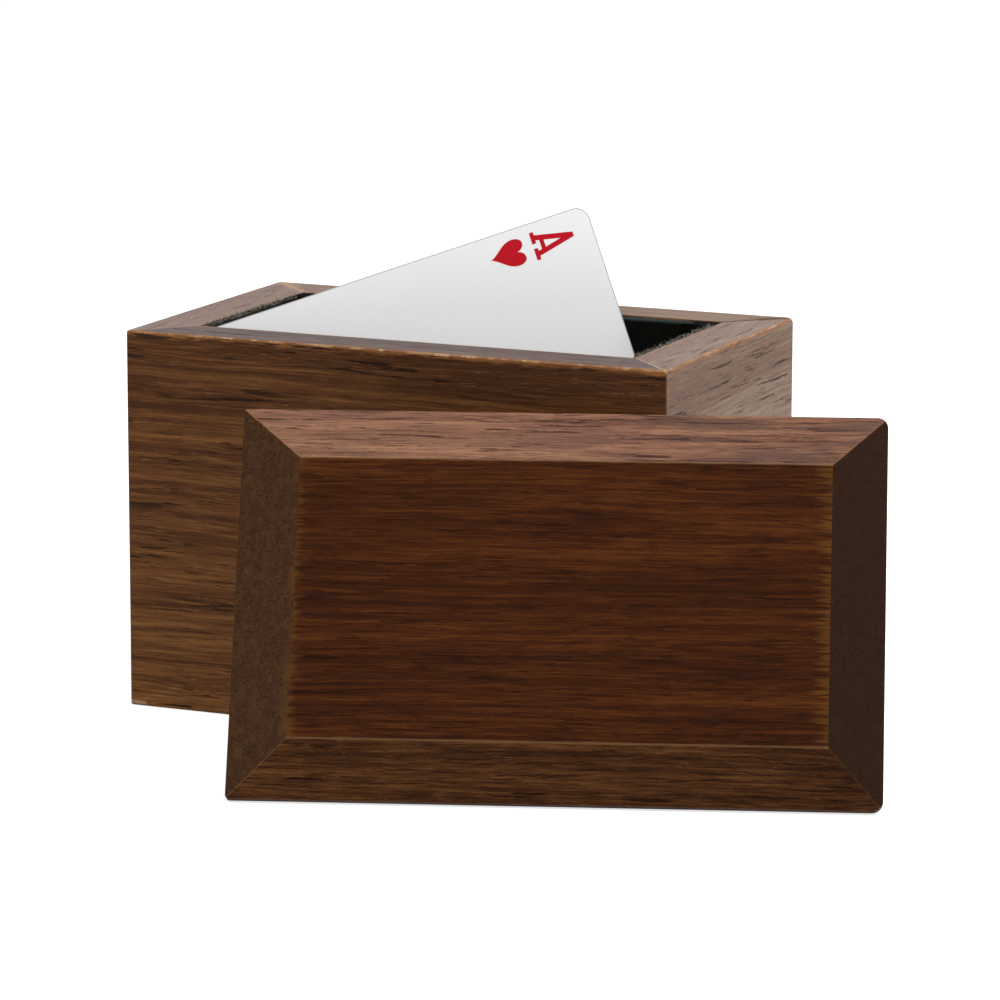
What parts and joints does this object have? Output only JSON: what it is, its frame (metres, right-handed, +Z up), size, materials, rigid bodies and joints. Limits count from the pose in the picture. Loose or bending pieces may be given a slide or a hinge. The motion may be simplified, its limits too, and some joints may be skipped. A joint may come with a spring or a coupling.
{
  "type": "magic card box",
  "caption": "Mitred walnut box with a lift-out false back, felt lining, a bevelled lift-off lid leaning on its corner and a playing card standing out of its mouth.",
  "frame": {"origin": "middle of the box's base, on the surface that it stands on", "axes": "+X to the right along the box's long side, +Y to the back, +Z up"},
  "size_m": [0.184, 0.1443, 0.1081],
  "materials": {
    "walnut_walls": "planed, thin oil finish, worn at the arrises",
    "walnut_bottom": "planed, unpolished",
    "walnut_lid": "sanded, thin oil finish, end grain darker",
    "walnut_plug": "planed, unpolished",
    "black_felt": "short black nap",
    "blackened_wood": "flat black stain",
    "black_board": "dense black board, sanded edge",
    "card_stock": "smooth coated card"
  },
  "bodies": {
    "box": {"front_wall": "walnut_walls", "back_wall": "walnut_walls", "left_wall": "walnut_walls", "right_wall": "walnut_walls", "bottom_panel": "walnut_bottom", "front_lining": "black_felt", "left_lining": "black_felt", "right_lining": "black_felt", "floor_lining": "black_felt", "left_guide": "blackened_wood", "right_guide": "blackened_wood"},
    "lid": {"lid_board": "walnut_lid", "lid_plug": "walnut_plug", "lid_lining": "black_felt"},
    "card": {"playing_card": "card_stock"},
    "false_back": {"false_back_board": "black_board", "false_back_facing": "black_felt"}
  },
  "joints": [
    {"name": "lid_lift", "type": "slide", "parent": "box", "child": "lid", "axis": [0, 0, 1], "range_m": [0, 0.12]},
    {"name": "card_pull", "type": "slide", "parent": "box", "child": "card", "axis": [0, 0, 1], "range_m": [0, 0.066]},
    {"name": "false_back_lift", "type": "slide", "parent": "box", "child": "false_back", "axis": [0, 0, 1], "range_m": [0, 0.08]}
  ]
}
